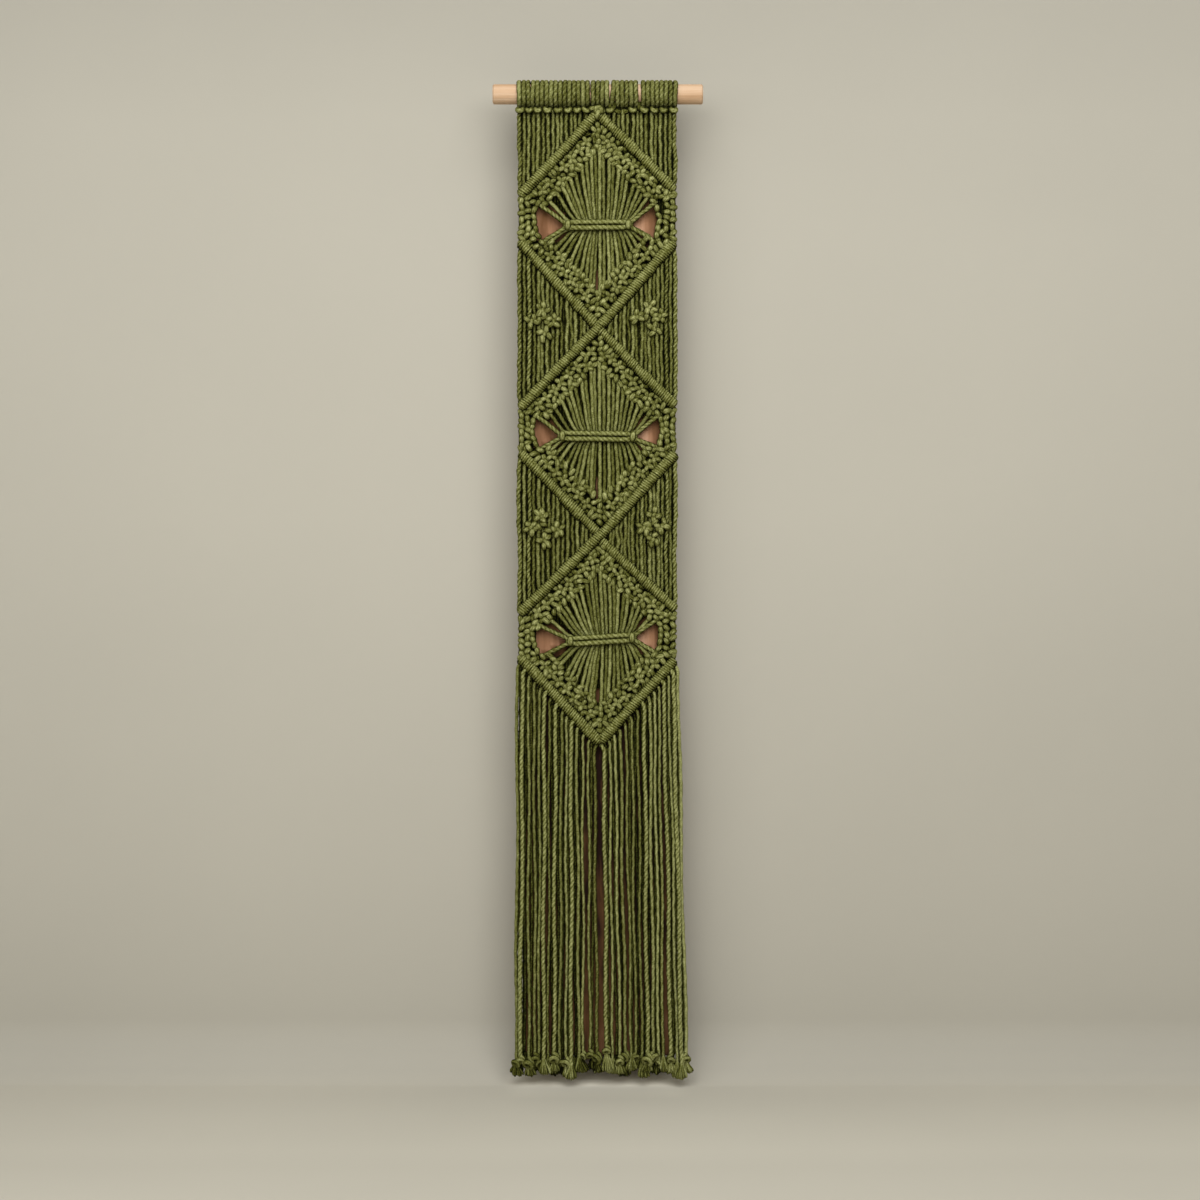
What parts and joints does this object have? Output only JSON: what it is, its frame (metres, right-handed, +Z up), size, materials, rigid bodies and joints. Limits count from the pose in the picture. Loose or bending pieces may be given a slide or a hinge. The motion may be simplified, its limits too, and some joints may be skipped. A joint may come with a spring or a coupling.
{
  "type": "macrame wall hanging on a wooden dowel",
  "caption": "Long narrow macrame wall hanging with knotted diamonds, gathered fans and a knotted fringe, on a round wooden dowel.",
  "frame": {"origin": "on the dowel's axis at its middle, where the wall hooks carry it", "axes": "+X along the dowel to the viewer's right, +Y back to the wall, +Z up"},
  "size_m": [0.21, 0.028, 0.998],
  "materials": {
    "pale_wood": "bare sanded wood",
    "olive_cord": "matte twisted cotton",
    "brown_cloth": "matte plain cloth"
  },
  "bodies": {
    "root": {"dowel": "pale_wood", "knotted_panel": "olive_cord", "fringe": "olive_cord", "backing_cloth": "brown_cloth"}
  },
  "joints": []
}
